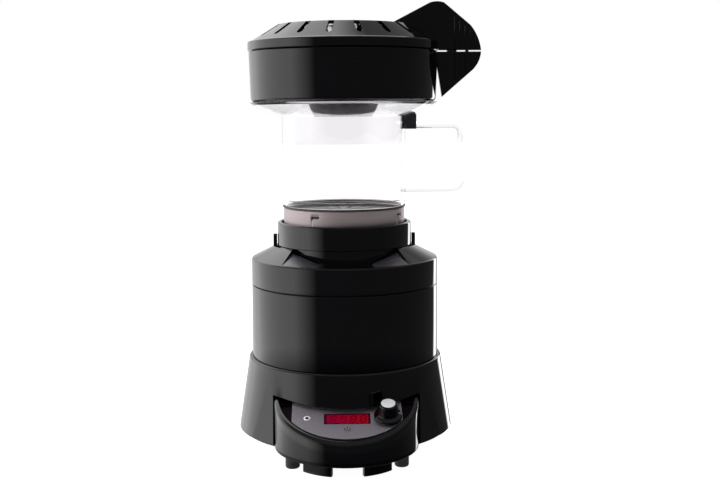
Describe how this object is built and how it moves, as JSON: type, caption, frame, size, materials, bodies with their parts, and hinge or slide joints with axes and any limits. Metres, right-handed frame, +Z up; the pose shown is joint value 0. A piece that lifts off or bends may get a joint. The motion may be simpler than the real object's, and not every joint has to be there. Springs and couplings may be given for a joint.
{
  "type": "home coffee bean roaster",
  "caption": "Upright hot-air coffee roaster: round fan base with a sloped control nose, clear glass roast chamber with a rod handle, chaff collector and vented lid with a split side grip.",
  "frame": {"origin": "where the roaster's upright axis meets the surface that it stands on", "axes": "+Z up along the roaster's axis, -Y towards the control panel, +X towards the handle and the grips"},
  "size_m": [0.1737, 0.1704, 0.3118],
  "materials": {
    "black_gloss": "polished black plastic",
    "black_plastic": "moulded black plastic",
    "white_plastic": "moulded plastic",
    "panel_silver": "satin, silver",
    "cap_silver": "satin, silver",
    "collar_steel": "brushed round the ring",
    "steel": "plain",
    "brass": "sintered",
    "copper": "enamelled copper wire",
    "magnet": "dark ferrite",
    "rubber": "matt",
    "seal": "matt silicone",
    "mica": "pressed mica sheet",
    "board_green": "solder mask",
    "display_red": "dark red filter",
    "indicator": "clear diffuse lens",
    "glass": "clear"
  },
  "bodies": {
    "base": {"bottom_pan": "black_plastic", "intake_grille": "black_plastic", "rubber_feet": "rubber", "base_skirt": "black_gloss", "front_bumper": "black_gloss", "cord_gland": "rubber", "main_housing": "black_gloss", "top_housing": "black_gloss", "neck_ring": "black_gloss", "base_seal": "seal", "control_panel": "panel_silver", "display_window": "display_red", "display_module": "black_plastic", "indicator_lens": "indicator", "control_board": "board_green", "key_switch": "black_plastic", "encoder_body": "steel", "blower_housing": "black_plastic", "blower_cover": "black_plastic", "motor_can": "steel", "motor_bushes": "brass", "motor_magnets": "magnet", "air_duct": "black_plastic", "heater_tube": "steel", "duct_gasket": "seal", "mica_frame": "mica", "heater_coil": "steel", "thermal_fuse": "steel", "thermostat": "black_plastic", "power_board": "board_green", "transformer": "black_plastic", "relay": "black_plastic", "capacitor": "black_plastic", "pan_screws": "steel", "board_screws": "steel", "bracket_screws": "steel", "housing_screws": "steel"},
    "power_key": {"power_key": "panel_silver"},
    "encoder_rotor": {"encoder_rotor": "steel"},
    "knob": {"encoder_shaft": "steel", "knob": "black_gloss", "knob_cap": "cap_silver"},
    "fan": {"motor_shaft": "steel", "armature": "copper", "impeller": "white_plastic"},
    "chamber": {"collar_ring": "collar_steel", "collar_gasket": "seal", "air_plate": "collar_steel", "chamber_glass": "glass", "glass_handle": "glass", "handle_clip": "black_gloss"},
    "collector": {"collector_body": "black_gloss", "inlet_nozzle": "black_gloss", "chaff_deflector": "black_plastic", "lower_grip": "black_gloss"},
    "screen": {"lid_seal": "seal", "screen_frame": "black_plastic", "chaff_screen": "steel"},
    "lid": {"lid": "black_gloss", "upper_grip": "black_gloss"}
  },
  "joints": [
    {"name": "power_key_press", "type": "slide", "parent": "base", "child": "power_key", "axis": [0, 0.342, -0.9397], "range_m": [0, 0.0008], "stiffness_N_per_m": 1200, "springref_m": -0.0005},
    {"name": "knob_turn", "type": "hinge", "parent": "base", "child": "encoder_rotor", "pos_m": [0.0266, -0.0731, 0.03405], "axis": [0, -0.342, 0.9397], "continuous": true},
    {"name": "knob_press", "type": "slide", "parent": "encoder_rotor", "child": "knob", "axis": [0, 0.342, -0.9397], "range_m": [0, 0.0008], "stiffness_N_per_m": 1600, "springref_m": -0.0006},
    {"name": "fan_spin", "type": "hinge", "parent": "base", "child": "fan", "pos_m": [0, 0, 0.03], "axis": [0, 0, 1], "continuous": true},
    {"name": "chamber_lift", "type": "slide", "parent": "base", "child": "chamber", "axis": [0, 0, 1], "range_m": [0, 0.1]},
    {"name": "collector_lift", "type": "slide", "parent": "chamber", "child": "collector", "axis": [0, 0, 1], "range_m": [0, 0.08]},
    {"name": "screen_lift", "type": "slide", "parent": "collector", "child": "screen", "axis": [0, 0, 1], "range_m": [0, 0.06]},
    {"name": "lid_turn", "type": "hinge", "parent": "screen", "child": "lid", "pos_m": [0, 0, 0.28], "axis": [0, 0, 1], "range_deg": [0, 35]}
  ]
}
